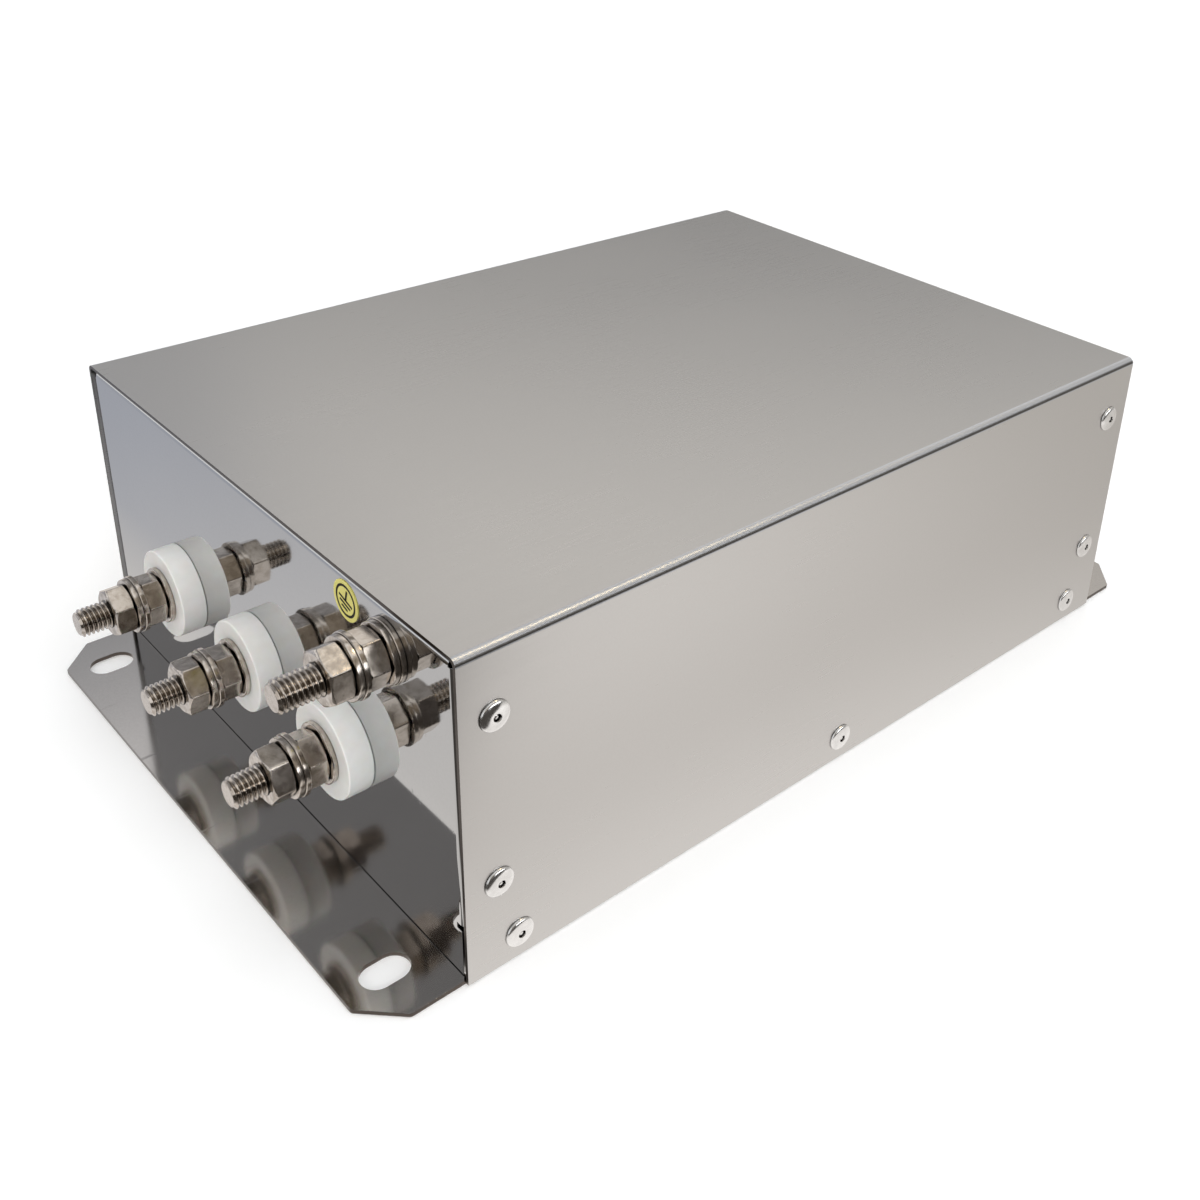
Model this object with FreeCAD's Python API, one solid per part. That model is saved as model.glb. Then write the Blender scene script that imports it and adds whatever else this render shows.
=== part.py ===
import FreeCAD, Part
import math
import os

from FreeCAD import Vector

# Three-phase line filter in a folded sheet-metal case with stud terminals.
# Millimetres, +Z up, X along the case. The line end is at -X, the load end at +X.
# The origin is on the underside of the base plate, midway between the four slots.

os.makedirs("parts", exist_ok=True)

X_AXIS = Vector(1, 0, 0)
Y_AXIS = Vector(0, 1, 0)
Z_AXIS = Vector(0, 0, 1)
ORIGIN = Vector(0, 0, 0)
LINE, LOAD = "line", "load"
ENDS = (LINE, LOAD)
PHASES = (1, 2, 3)
OVERCUT = 1.0  # how far a cutting tool runs past the face it opens

# Case
body_length = 260.0  # cover from end to end
body_width = 192.0  # over the two cover sides
body_height = 94.0  # cover top above the mounting surface
cover_sheet = 1.0
panel_sheet = 1.0
base_sheet = 1.2
bend_inner_radius = 1.0
cover_foot_gap = 0.3  # cover's lower edge above the mounting surface
sheet_fit = 0.2  # clearance between nested sheets
panel_recess = 0.4  # end panel behind the cover's end
panel_seam = 0.3  # panel's lower edge above the base plate
panel_flange_depth = 18.0
panel_corner_relief = 2.2
panel_edge_inset = 1.3  # bare lower edge of the panel, inside its flanges
panel_relief_height = 1.6
base_side_height = 14.0
flange_gap = 1.5  # height between the base's side flange and the panel's
base_side_end_gap = 1.2
bend_relief_width = 1.6
bend_relief_depth = 3.2

# Mounting flanges
flange_reach = 25.0  # base plate beyond the cover at each end
flange_chamfer = 10.0
flange_corner_radius = 1.5
slot_width = 9.0
slot_length = 13.0
slot_end_inset = 12.0  # slot centre from the flange's free edge
slot_side_inset = 16.0  # slot centre from the cover's side

# Blind rivets
rivet_shank_diameter = 4.0
rivet_hole_clearance = 0.05  # each side
rivet_head_diameter = 8.2
rivet_head_height = 1.25
rivet_rim_height = 0.6
rivet_bore_diameter = 2.4
rivet_bore_depth = 1.5
rivet_bulb_diameter = 6.0
rivet_bulb_length = 2.6
rivet_tail_length = 1.0
end_rivet_inset = 9.5  # from the cover's end
upper_rivet_drop = 18.6  # below the cover's top
lower_rivet_height = 27.3
base_rivet_inset = 15.0
base_rivet_height = 7.8

# Stud hardware
thread_diameter = 8.0
thread_pitch_diameter = 7.19  # the thread's size inside the nuts
thread_chamfer = 0.9
thread_fit = 0.05  # between thread and nut, each side
washer_fit = 0.25  # between thread and washer, each side
nut_across_flats = 13.0
nut_height = 5.8
nut_face_share = 0.95  # flat face of the nut against its width across flats
nut_countersink = 0.5
flat_washer_diameter = 16.4
flat_washer_thickness = 1.4
spring_washer_diameter = 15.8
spring_washer_thickness = 1.6
spring_washer_split = 1.6
spring_washer_slant = 20.0  # degrees

# Terminals
line_pitch = 45.0
terminal_height = 41.8
outer_insulator_diameter = 26.0
outer_insulator_thickness = 7.0
insulator_edge_chamfer = 0.8
spigot_diameter = 14.0
spigot_overlap = 2.0  # spigot inside the inner insulator
spigot_fit = 0.2
inner_insulator_diameter = 24.0
inner_insulator_thickness = 6.0
line_thread_end = 8.5  # bare thread beyond the outer nut
earth_thread_end = 10.8
inner_thread_end = 3.0  # bare thread at the inner end of every stud
earth_side_inset = 28.0  # earth stud from the cover's side
earth_drop = 12.5  # earth stud below the cover's top
outer_nut_turns = (-28.0, -8.0, 9.0)  # degrees, for the studs from +Y to -Y
inner_nut_turns = (-9.0, -3.0, -22.0)
earth_outer_nut_turn = 27.0
earth_inner_nut_turn = -1.0
split_turns = (190.0, 250.0, 290.0)  # degrees
earth_split_turns = (210.0, 270.0)

# Earth mark
sticker_diameter = 10.8
sticker_thickness = 0.2
sticker_side_step = 17.6  # from the earth stud towards the middle
sticker_drop = 8.4  # below the cover's top

# Capacitor boards
board_thickness = 1.6
board_side_gap = 8.0
board_top_gap = 3.4
board_floor_gap = 8.0
board_corner_radius = 3.0
x_capacitor_depth = 30.0
x_capacitor_side_gap = 7.0  # between neighbours
x_capacitor_lift = 4.0  # above the nuts on the line studs
x_capacitor_head_gap = 1.6  # below the washers on the earth stud
capacitor_edge_radius = 1.0
y_capacitor_width = 18.0
y_capacitor_height = 8.0
y_capacitor_depth = 14.0
y_capacitor_drop = 20.0  # below the terminals
resistor_diameter = 4.0
resistor_length = 12.0
resistor_drop = 11.0

# Lugs on the winding ends
lug_thickness = 2.0
lug_ring_diameter = 15.0
lug_neck_width = 9.0
lug_barrel_diameter = 8.0
lug_barrel_length = 11.0
lug_barrel_drop = 12.0  # top of the barrel below the stud
lug_bore_fit = 0.1
lug_cap = 1.0  # closed end of the barrel

# Choke
core_count = 3
core_bore_diameter = 40.0
core_thickness = 24.0
wire_diameter = 5.0
wire_gap = 0.5  # between wire and core
winding_passes = 4  # passes of one winding through the core
pass_step = 20.0  # degrees between passes
phase_angles = (30.0, 270.0, 150.0)  # middle of each winding, seen along the axis
lead_floor_gap = 5.0  # lead's centre above the liner
lead_entry_gap = 8.0  # straight lead in front of the coil
strap_thickness = 1.2
strap_width = 8.0
strap_head_room = 2.6  # strap below the cover
strap_fit = 0.2
strap_offset = 18.0
cradle_floor = 3.6
cradle_width = 76.0
cradle_length = 56.0
cradle_cheek_height = 22.0
cradle_foot_width = 14.0
cradle_foot_thickness = 4.0
cradle_stud_diameter = 4.0
cradle_stud_length = 11.0
cradle_stud_offset = 20.0
cradle_nut_across_flats = 7.0
cradle_nut_height = 3.2
liner_thickness = 0.5
liner_side_gap = 6.0
liner_end_gap = 4.0

# Places worked out from the sizes above
half_length = body_length / 2
half_width = body_width / 2
bend_outer_radius = bend_inner_radius + panel_sheet
cover_bend_radius = bend_inner_radius + cover_sheet
base_bend_radius = bend_inner_radius + base_sheet
cover_inside_top = body_height - cover_sheet
nested_half_width = half_width - cover_sheet - sheet_fit
panel_face = half_length - panel_recess
panel_inner_face = panel_face - panel_sheet
panel_top = cover_inside_top - sheet_fit
panel_bottom = base_sheet + panel_seam
panel_flange_bottom = base_side_height + flange_gap
base_half_length = half_length + flange_reach
base_side_end = panel_inner_face - base_side_end_gap
slot_x = base_half_length - slot_end_inset
slot_y = half_width - slot_side_inset
end_rivet_x = half_length - end_rivet_inset
base_rivet_x = half_length - base_rivet_inset
upper_rivet_height = body_height - upper_rivet_drop
earth_y = -(half_width - earth_side_inset)
earth_z = body_height - earth_drop
sticker_y = earth_y + sticker_side_step
sticker_z = body_height - sticker_drop
stud_ys = (line_pitch, 0.0, -line_pitch)
thread_radius = thread_diameter / 2
stack_radius = flat_washer_diameter / 2
x_capacitor_bottom = terminal_height + stack_radius + x_capacitor_lift
x_capacitor_top = earth_z - spring_washer_diameter / 2 - x_capacitor_head_gap
liner_top = base_sheet + liner_thickness
washer_pair = flat_washer_thickness + spring_washer_thickness

# Stack along a stud: distances from the panel's outer face outwards, and from
# its inner face inwards
inner_nut_start = outer_insulator_thickness + flat_washer_thickness
outer_nut_start = inner_nut_start + nut_height + washer_pair
stud_reach = outer_nut_start + nut_height + line_thread_end
earth_outer_nut_start = washer_pair + nut_height + washer_pair
earth_reach = earth_outer_nut_start + nut_height + earth_thread_end
clamp_nut_start = inner_insulator_thickness + flat_washer_thickness
board_start = clamp_nut_start + nut_height
lug_start = board_start + board_thickness
lug_nut_start = lug_start + lug_thickness + spring_washer_thickness
stud_depth = lug_nut_start + nut_height + inner_thread_end
board_nut_start = board_start + board_thickness + spring_washer_thickness
earth_depth = board_nut_start + nut_height + inner_thread_end

# Choke, from the free height inside the case
coil_outer_radius = (cover_inside_top - strap_head_room - strap_thickness - strap_fit
                     - liner_top - cradle_floor) / 2
choke_z = liner_top + cradle_floor + coil_outer_radius
outer_pass_radius = coil_outer_radius - wire_diameter / 2
core_radius = outer_pass_radius - wire_diameter / 2 - wire_gap
inner_pass_radius = core_bore_diameter / 2 - wire_gap - wire_diameter / 2
core_half_length = core_count * core_thickness / 2
coil_reach = core_half_length + wire_gap + wire_diameter / 2
lead_entry = coil_reach + lead_entry_gap
lead_z = liner_top + lead_floor_gap
barrel_x = panel_inner_face - lug_start - lug_barrel_diameter / 2
barrel_top = terminal_height - lug_barrel_drop
barrel_bottom = barrel_top - lug_barrel_length
lead_knee = (barrel_x + lead_entry) / 2


def save(name, *solids):
    """Write one node, either one solid or a group of separate ones."""
    shape = solids[0] if len(solids) == 1 else Part.makeCompound(list(solids))
    shape.exportStep("parts/" + name + ".step")


def box(x_range, y_range, z_range):
    """A block between two values on each axis."""
    size = [high - low for low, high in (x_range, y_range, z_range)]
    return Part.makeBox(*size, Vector(x_range[0], y_range[0], z_range[0]))


def both_ways(half):
    """A range that runs the same distance each way from the middle."""
    return (-half, half)


def rod(x_low, length, diameter, y, z):
    """A round bar along X."""
    return Part.makeCylinder(diameter / 2, length, Vector(x_low, y, z), X_AXIS)


def ring(x_low, length, diameter, bore, y, z):
    """A flat ring whose axis runs along X."""
    hole = rod(x_low - OVERCUT, length + 2 * OVERCUT, bore, y, z)
    return rod(x_low, length, diameter, y, z).cut(hole)


def turned(points, place, axis=X_AXIS):
    """A turned solid from (distance along the axis, radius) points."""
    corners = [Vector(along, radius, 0) for along, radius in points]
    face = Part.Face(Part.makePolygon(corners + corners[:1]))
    solid = face.revolve(ORIGIN, X_AXIS, 360)
    solid.Placement = FreeCAD.Placement(place, FreeCAD.Rotation(X_AXIS, axis))
    return solid


def edges_where(shape, test):
    """Edges whose middle point passes the test."""
    return [edge for edge in shape.Edges if test(edge.CenterOfMass)]


def near(value, target):
    return abs(value - target) < 1e-6


def outside(start, length):
    """Lower X of a piece that starts outside the line panel's outer face."""
    return -panel_face - start - length


def inside(start):
    """Lower X of a piece that starts inside the line panel's inner face."""
    return -panel_inner_face + start


def at_end(shape, end):
    """Pieces are modelled at the line end. The load end's are turned half round."""
    placed = shape.copy()
    if end == LOAD:
        placed.rotate(ORIGIN, Z_AXIS, 180)
    return placed


# Case

def cut_slot(plate, x, y):
    """A round-ended slot along X through the base plate."""
    straight = (slot_length - slot_width) / 2
    depth = (-OVERCUT, base_sheet + OVERCUT)
    tool = box((x - straight, x + straight), (y - slot_width / 2, y + slot_width / 2), depth)
    for end_x in (x - straight, x + straight):
        end_round = Part.makeCylinder(slot_width / 2, depth[1] - depth[0],
                                      Vector(end_x, y, depth[0]))
        tool = tool.fuse(end_round)
    return plate.cut(tool)


def flat_base():
    """Flat of the base plate with its chamfered flange corners."""
    x, y, cut = base_half_length, nested_half_width, flange_chamfer
    corners = [(x, -y + cut), (x, y - cut), (x - cut, y), (-x + cut, y),
               (-x, y - cut), (-x, -y + cut), (-x + cut, -y), (x - cut, -y)]
    points = [Vector(px, py, 0) for px, py in corners]
    outline = Part.Face(Part.makePolygon(points + points[:1]))
    plate = outline.extrude(Z_AXIS * base_sheet)
    upright = edges_where(plate, lambda p: near(p.z, base_sheet / 2))
    return plate.makeFillet(flange_corner_radius, upright)


def base_sides():
    """Channel whose two sides stand inside the cover."""
    outer = box(both_ways(base_side_end), both_ways(nested_half_width), (0, base_side_height))
    bends = edges_where(outer, lambda p: near(p.z, 0) and near(abs(p.y), nested_half_width))
    outer = outer.makeFillet(base_bend_radius, bends)
    inner_half = nested_half_width - base_sheet
    inner = box(both_ways(base_side_end + OVERCUT), both_ways(inner_half),
                (base_sheet, base_side_height + OVERCUT))
    bends = edges_where(inner, lambda p: near(p.z, base_sheet) and near(abs(p.y), inner_half))
    return outer.cut(inner.makeFillet(bend_inner_radius, bends))


def base_plate():
    flat = flat_base()
    bend_start = nested_half_width - base_bend_radius
    for side in (-1, 1):
        strip = sorted((side * bend_start, side * (nested_half_width + OVERCUT)))
        flat = flat.cut(box(both_ways(base_side_end), strip, (-OVERCUT, base_sheet + OVERCUT)))
    plate = flat.fuse(base_sides())
    for end in (-1, 1):
        for side in (-1, 1):
            relief_x = sorted((end * base_side_end, end * (base_side_end + bend_relief_width)))
            relief_y = sorted((side * (nested_half_width - bend_relief_depth),
                               side * (nested_half_width + OVERCUT)))
            plate = plate.cut(box(relief_x, relief_y, (-OVERCUT, base_sheet + OVERCUT)))
            plate = cut_slot(plate, end * slot_x, side * slot_y)
    for x in base_rivet_xs():
        plate = plate.cut(rivet_hole(x, base_rivet_height))
    for x, y in cradle_stud_places():
        plate = plate.cut(Part.makeCylinder(cradle_stud_diameter / 2, base_sheet + 2 * OVERCUT,
                                            Vector(x, y, -OVERCUT)))
    return plate.removeSplitter()


def cover():
    """Top and two sides folded from one sheet."""
    foot = cover_foot_gap
    outer = box(both_ways(half_length), both_ways(half_width), (foot, body_height))
    bends = edges_where(outer, lambda p: near(p.z, body_height) and near(abs(p.y), half_width))
    outer = outer.makeFillet(cover_bend_radius, bends)
    inner_half = half_width - cover_sheet
    inner = box(both_ways(half_length + OVERCUT), both_ways(inner_half),
                (foot - OVERCUT, cover_inside_top))
    bends = edges_where(inner, lambda p: near(p.z, cover_inside_top) and near(abs(p.y), inner_half))
    shell = outer.cut(inner.makeFillet(bend_inner_radius, bends))
    for x, z in rivet_places():
        shell = shell.cut(rivet_hole(x, z))
    return shell


def end_panel(end):
    """Tray folded from one sheet: face, top flange and two side flanges. Only the line end
    has an earth stud through it."""
    x_face, x_back = -panel_face, -panel_face + panel_flange_depth
    half, top = nested_half_width, panel_top
    outer = box((x_face, x_back), both_ways(half), (panel_flange_bottom, top))
    bends = edges_where(outer, lambda p: near(p.x, x_face) and not near(p.z, panel_flange_bottom))
    outer = outer.makeFillet(bend_outer_radius, bends)
    x_inner, inner_half, inner_top = x_face + panel_sheet, half - panel_sheet, top - panel_sheet
    inner_bottom = panel_flange_bottom - OVERCUT
    inner = box((x_inner, x_back + OVERCUT), both_ways(inner_half), (inner_bottom, inner_top))
    bends = edges_where(inner, lambda p: near(p.x, x_inner) and not near(p.z, inner_bottom))
    tray = outer.cut(inner.makeFillet(bend_inner_radius, bends))
    skirt_half = half - panel_edge_inset
    relief_top = panel_flange_bottom + panel_relief_height
    for side in (-1, 1):
        corner_y = sorted((side * (half - panel_corner_relief), side * (half + OVERCUT)))
        corner_x = (x_face - OVERCUT, x_back + OVERCUT)
        tray = tray.cut(box(corner_x, corner_y, (top - panel_corner_relief, top + OVERCUT)))
        notch_y = sorted((side * (half - bend_relief_depth), side * (half + OVERCUT)))
        notch_x = (x_face - OVERCUT, x_inner + bend_inner_radius)
        tray = tray.cut(box(notch_x, notch_y, (panel_flange_bottom - OVERCUT, relief_top)))
    skirt = box((x_face, x_inner), both_ways(skirt_half), (panel_bottom, panel_flange_bottom))
    panel = tray.fuse(skirt).removeSplitter()
    for y in stud_ys:
        panel = panel.cut(rod(x_face - OVERCUT, panel_sheet + 2 * OVERCUT,
                              spigot_diameter + 2 * spigot_fit, y, terminal_height))
    if end == LINE:
        panel = panel.cut(rod(x_face - OVERCUT, panel_sheet + 2 * OVERCUT,
                              thread_diameter + 2 * washer_fit, earth_y, earth_z))
    for z in (lower_rivet_height, upper_rivet_height):
        panel = panel.cut(rivet_hole(-end_rivet_x, z))
    return panel


# Rivets

def base_rivet_xs():
    return (-base_rivet_x, 0.0, base_rivet_x)


def rivet_places():
    """X and Z of the rivets, the same on both sides."""
    places = [(x, base_rivet_height) for x in base_rivet_xs()]
    for x in (-end_rivet_x, end_rivet_x):
        places += [(x, lower_rivet_height), (x, upper_rivet_height)]
    return places


def rivet_hole(x, z):
    """One drill through both sides."""
    start = Vector(x, -half_width - OVERCUT, z)
    radius = rivet_shank_diameter / 2 + rivet_hole_clearance
    return Part.makeCylinder(radius, body_width + 2 * OVERCUT, start, Y_AXIS)


def blind_rivet(x, z, side, inner_sheet):
    """Domed head outside, shank through both sheets, bulb behind the inner one."""
    grip = cover_sheet + sheet_fit + inner_sheet
    head, shank = rivet_head_diameter / 2, rivet_shank_diameter / 2
    bulb, bore = rivet_bulb_diameter / 2, rivet_bore_diameter / 2
    tail = -grip - rivet_bulb_length - rivet_tail_length
    dome_middle = Vector(rivet_rim_height + 0.75 * (rivet_head_height - rivet_rim_height),
                         (head + bore) / 2, 0)
    rim, lip = Vector(rivet_rim_height, head, 0), Vector(rivet_head_height, bore, 0)
    dome = Part.Arc(rim, dome_middle, lip).toShape()
    rest = [(rivet_head_height, bore), (rivet_head_height - rivet_bore_depth, bore),
            (rivet_head_height - rivet_bore_depth, 0), (tail, 0), (tail, bore),
            (-grip - rivet_bulb_length, bulb), (-grip, bulb), (-grip, shank), (0, shank),
            (0, head), (rivet_rim_height, head)]
    lines = Part.makePolygon([Vector(along, radius, 0) for along, radius in rest])
    profile = Part.Face(Part.Wire([dome] + lines.Edges))
    rivet = profile.revolve(ORIGIN, X_AXIS, 360)
    outward = Vector(0, side, 0)
    rivet.Placement = FreeCAD.Placement(Vector(x, side * half_width, z),
                                        FreeCAD.Rotation(X_AXIS, outward))
    return rivet


def cover_rivets():
    rivets = []
    for side in (-1, 1):
        for x, z in rivet_places():
            inner_sheet = base_sheet if near(z, base_rivet_height) else panel_sheet
            rivets.append(blind_rivet(x, z, side, inner_sheet))
    return rivets


# Stud hardware

def threaded_stud(reach, depth, free_end, y, z):
    """Bar at the thread's outer diameter where it is bare, and at its pitch diameter where
    the nuts grip it."""
    length = reach + panel_sheet + depth
    full, gripped, cut = thread_radius, thread_pitch_diameter / 2, thread_chamfer
    inner_start = length - inner_thread_end
    points = [(0, 0), (0, full - cut), (cut, full), (free_end, full), (free_end, gripped),
              (inner_start, gripped), (inner_start, full), (length - cut, full),
              (length, full - cut), (length, 0)]
    return turned(points, Vector(-panel_face - reach, y, z))


def welded_stud(y, z):
    """Stud on the load panel's inner face, for that board's earth."""
    full, gripped, cut = thread_radius, thread_pitch_diameter / 2, thread_chamfer
    nut_end = board_nut_start + nut_height
    points = [(0, 0), (0, full), (board_nut_start, full), (board_nut_start, gripped),
              (nut_end, gripped), (nut_end, full), (earth_depth - cut, full),
              (earth_depth, full - cut), (earth_depth, 0)]
    return turned(points, Vector(inside(0), y, z))


def hexagon(x_low, length, across_flats, turn, y, z):
    """Six-sided bar along X. At no turn one corner points along Y."""
    reach = across_flats / math.sqrt(3)
    corners = []
    for index in range(7):
        angle = math.radians(turn + 60 * index)
        corners.append(Vector(x_low, y + reach * math.cos(angle), z + reach * math.sin(angle)))
    return Part.Face(Part.makePolygon(corners)).extrude(X_AXIS * length)


def plain_nut(x_low, y, z, turn=0.0):
    """Nut inside the case."""
    bore = thread_pitch_diameter + 2 * thread_fit
    body = hexagon(x_low, nut_height, nut_across_flats, turn, y, z)
    return body.cut(rod(x_low - OVERCUT, nut_height + 2 * OVERCUT, bore, y, z))


def chamfered_nut(x_low, y, z, turn):
    """Nut with both faces chamfered at 30 degrees and a countersunk bore."""
    height = nut_height
    face = nut_face_share * nut_across_flats / 2
    corner = nut_across_flats / math.sqrt(3)
    rise = (corner - face) * math.tan(math.radians(30))
    bore = thread_pitch_diameter / 2 + thread_fit
    mouth = bore + nut_countersink
    points = [(0, mouth), (0, face), (rise, corner), (height - rise, corner), (height, face),
              (height, mouth), (height - nut_countersink, bore), (nut_countersink, bore)]
    blank = turned(points, Vector(x_low, y, z))
    return hexagon(x_low, height, nut_across_flats, turn, y, z).common(blank)


def flat_washer(x_low, y, z):
    bore = thread_diameter + 2 * washer_fit
    return ring(x_low, flat_washer_thickness, flat_washer_diameter, bore, y, z)


def spring_washer(x_low, y, z, turn):
    """Ring cut through at a slant, pressed flat."""
    bore = thread_diameter + 2 * washer_fit
    washer = ring(x_low, spring_washer_thickness, spring_washer_diameter, bore, y, z)
    reach = spring_washer_diameter
    gap = box((-reach, reach), both_ways(spring_washer_split / 2), (0, reach))
    gap.rotate(ORIGIN, Z_AXIS, spring_washer_slant)
    gap.rotate(ORIGIN, X_AXIS, turn)
    gap.translate(Vector(x_low + spring_washer_thickness / 2, y, z))
    return washer.cut(gap)


def outer_insulator(y):
    """Flanged bush: the disc outside, its spigot through the panel."""
    x_out = outside(0, outer_insulator_thickness)
    disc = rod(x_out, outer_insulator_thickness, outer_insulator_diameter, y, terminal_height)
    rim = edges_where(disc, lambda p: near(p.x, x_out))
    disc = disc.makeChamfer(insulator_edge_chamfer, rim)
    spigot = rod(-panel_face, panel_sheet + spigot_overlap, spigot_diameter, y, terminal_height)
    length = outer_insulator_thickness + panel_sheet + spigot_overlap
    bore = rod(x_out - OVERCUT, length + 2 * OVERCUT, thread_diameter + 2 * washer_fit, y,
               terminal_height)
    return disc.fuse(spigot).cut(bore).removeSplitter()


def inner_insulator(y):
    """Ring behind the panel that takes the spigot's end."""
    x_low = inside(0)
    disc = ring(x_low, inner_insulator_thickness, inner_insulator_diameter,
                thread_diameter + 2 * washer_fit, y, terminal_height)
    pocket = rod(x_low - OVERCUT, spigot_overlap + spigot_fit + OVERCUT,
                 spigot_diameter + 2 * spigot_fit, y, terminal_height)
    return disc.cut(pocket)


def terminal_hardware(index):
    """Nuts, flat washers and spring washers of one line terminal."""
    y, z = stud_ys[index], terminal_height
    nuts = [chamfered_nut(outside(inner_nut_start, nut_height), y, z, inner_nut_turns[index]),
            chamfered_nut(outside(outer_nut_start, nut_height), y, z, outer_nut_turns[index]),
            plain_nut(inside(clamp_nut_start), y, z),
            plain_nut(inside(lug_nut_start), y, z)]
    second_washer = inner_nut_start + nut_height
    flats = [flat_washer(outside(outer_insulator_thickness, flat_washer_thickness), y, z),
             flat_washer(outside(second_washer, flat_washer_thickness), y, z),
             flat_washer(inside(inner_insulator_thickness), y, z)]
    spring_start = second_washer + flat_washer_thickness
    springs = [spring_washer(outside(spring_start, spring_washer_thickness), y, z,
                             split_turns[index]),
               spring_washer(inside(lug_start + lug_thickness), y, z, 0)]
    return nuts, flats, springs


def earth_terminal():
    """Nuts, flat washers and spring washers that hold the line end's earth stud."""
    y, z = earth_y, earth_z
    nuts = [chamfered_nut(outside(washer_pair, nut_height), y, z, earth_inner_nut_turn),
            chamfered_nut(outside(earth_outer_nut_start, nut_height), y, z,
                          earth_outer_nut_turn),
            plain_nut(inside(flat_washer_thickness), y, z)]
    second_washer = washer_pair + nut_height
    flats = [flat_washer(outside(0, flat_washer_thickness), y, z),
             flat_washer(outside(second_washer, flat_washer_thickness), y, z),
             flat_washer(inside(0), y, z)]
    springs = []
    for start, turn in zip((0, second_washer), earth_split_turns):
        x_low = outside(start + flat_washer_thickness, spring_washer_thickness)
        springs.append(spring_washer(x_low, y, z, turn))
    return nuts, flats, springs


def board_earth(spacer_start):
    """Spacer up to the board on an earth stud, and the spring washer and nut behind it."""
    y, z = earth_y, earth_z
    spacer = ring(inside(spacer_start), board_start - spacer_start, nut_across_flats,
                  thread_diameter + 2 * washer_fit, y, z)
    spring = spring_washer(inside(board_start + board_thickness), y, z, 0)
    return spacer, spring, plain_nut(inside(board_nut_start), y, z)


# Capacitor boards

def capacitor_board():
    """Board that hangs on the studs, behind the end panel."""
    half = nested_half_width - board_side_gap
    top = cover_inside_top - board_top_gap
    bottom = base_sheet + board_floor_gap
    x_low = inside(board_start)
    board = box((x_low, x_low + board_thickness), both_ways(half), (bottom, top))
    middle = x_low + board_thickness / 2
    board = board.makeFillet(board_corner_radius, edges_where(board, lambda p: near(p.x, middle)))
    bore = thread_diameter + 2 * washer_fit
    length = board_thickness + 2 * OVERCUT
    for y in stud_ys:
        board = board.cut(rod(x_low - OVERCUT, length, bore, y, terminal_height))
    return board.cut(rod(x_low - OVERCUT, length, bore, earth_y, earth_z))


def film_capacitor(y, z, width, height, depth):
    """Boxed capacitor on the inner face of the board."""
    x_low = inside(lug_start)
    body = box((x_low, x_low + depth), (y - width / 2, y + width / 2),
               (z - height / 2, z + height / 2))
    outer_edges = edges_where(body, lambda p: near(p.x, x_low + depth))
    return body.makeChamfer(capacitor_edge_radius, outer_edges)


def x_capacitor(y):
    """Between the line studs' nuts and the earth stud's."""
    height = x_capacitor_top - x_capacitor_bottom
    return film_capacitor(y, x_capacitor_bottom + height / 2, line_pitch - x_capacitor_side_gap,
                          height, x_capacitor_depth)


def y_capacitors():
    """One from each phase to earth, set between the lugs."""
    z = terminal_height - y_capacitor_drop
    return [film_capacitor(y - line_pitch / 2, z, y_capacitor_width, y_capacitor_height,
                           y_capacitor_depth) for y in stud_ys]


def discharge_resistors():
    """One across each pair of phases, flat against the line board."""
    x = inside(lug_start) + resistor_diameter / 2
    z = terminal_height - resistor_drop
    resistors = []
    for y in stud_ys:
        start = Vector(x, y - line_pitch / 2 - resistor_length / 2, z)
        resistors.append(Part.makeCylinder(resistor_diameter / 2, resistor_length, start, Y_AXIS))
    return resistors


def winding_lug(y):
    """Ring on the stud, neck, and a barrel that points down."""
    x_low = inside(lug_start)
    tongue = rod(x_low, lug_thickness, lug_ring_diameter, y, terminal_height)
    neck = box((x_low, x_low + lug_thickness), (y - lug_neck_width / 2, y + lug_neck_width / 2),
               (barrel_top, terminal_height))
    barrel = Part.makeCylinder(lug_barrel_diameter / 2, lug_barrel_length,
                               Vector(-barrel_x, y, barrel_bottom))
    stem = box((x_low, x_low + lug_thickness), (y - lug_neck_width / 2, y + lug_neck_width / 2),
               (barrel_bottom + lug_barrel_length / 2, barrel_top))
    lug = tongue.fuse([neck, stem, barrel])
    lug = lug.cut(rod(x_low - OVERCUT, lug_thickness + 2 * OVERCUT,
                      thread_diameter + 2 * washer_fit, y, terminal_height))
    wire_bore = Part.makeCylinder(wire_diameter / 2 + lug_bore_fit,
                                  lug_barrel_length - lug_cap + OVERCUT,
                                  Vector(-barrel_x, y, barrel_bottom - OVERCUT))
    return lug.cut(wire_bore).removeSplitter()


# Choke

def choke_point(x, radius, angle):
    """A point about the choke's axis, the angle measured from +Y towards +Z."""
    turn = math.radians(angle)
    return Vector(x, radius * math.cos(turn), choke_z + radius * math.sin(turn))


def winding_route(phase):
    """Corners of one winding, from its line lug through the core to its load lug."""
    y = stud_ys[phase - 1]
    first = phase_angles[phase - 1] - pass_step * (winding_passes - 1) / 2
    barrel_end = barrel_top - lug_cap
    route = [Vector(-barrel_x, y, barrel_end), Vector(-barrel_x, y, lead_z),
             Vector(-lead_knee, y, lead_z), choke_point(-lead_entry, inner_pass_radius, first)]
    for index in range(winding_passes):
        angle = first + index * pass_step
        if index:
            route.append(choke_point(-coil_reach, inner_pass_radius, angle))
        if index < winding_passes - 1:
            route += [choke_point(coil_reach, inner_pass_radius, angle),
                      choke_point(coil_reach, outer_pass_radius, angle),
                      choke_point(-coil_reach, outer_pass_radius, angle)]
        else:
            route.append(choke_point(lead_entry, inner_pass_radius, angle))
    return route + [Vector(lead_knee, y, lead_z), Vector(barrel_x, y, lead_z),
                    Vector(barrel_x, y, barrel_end)]


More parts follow.
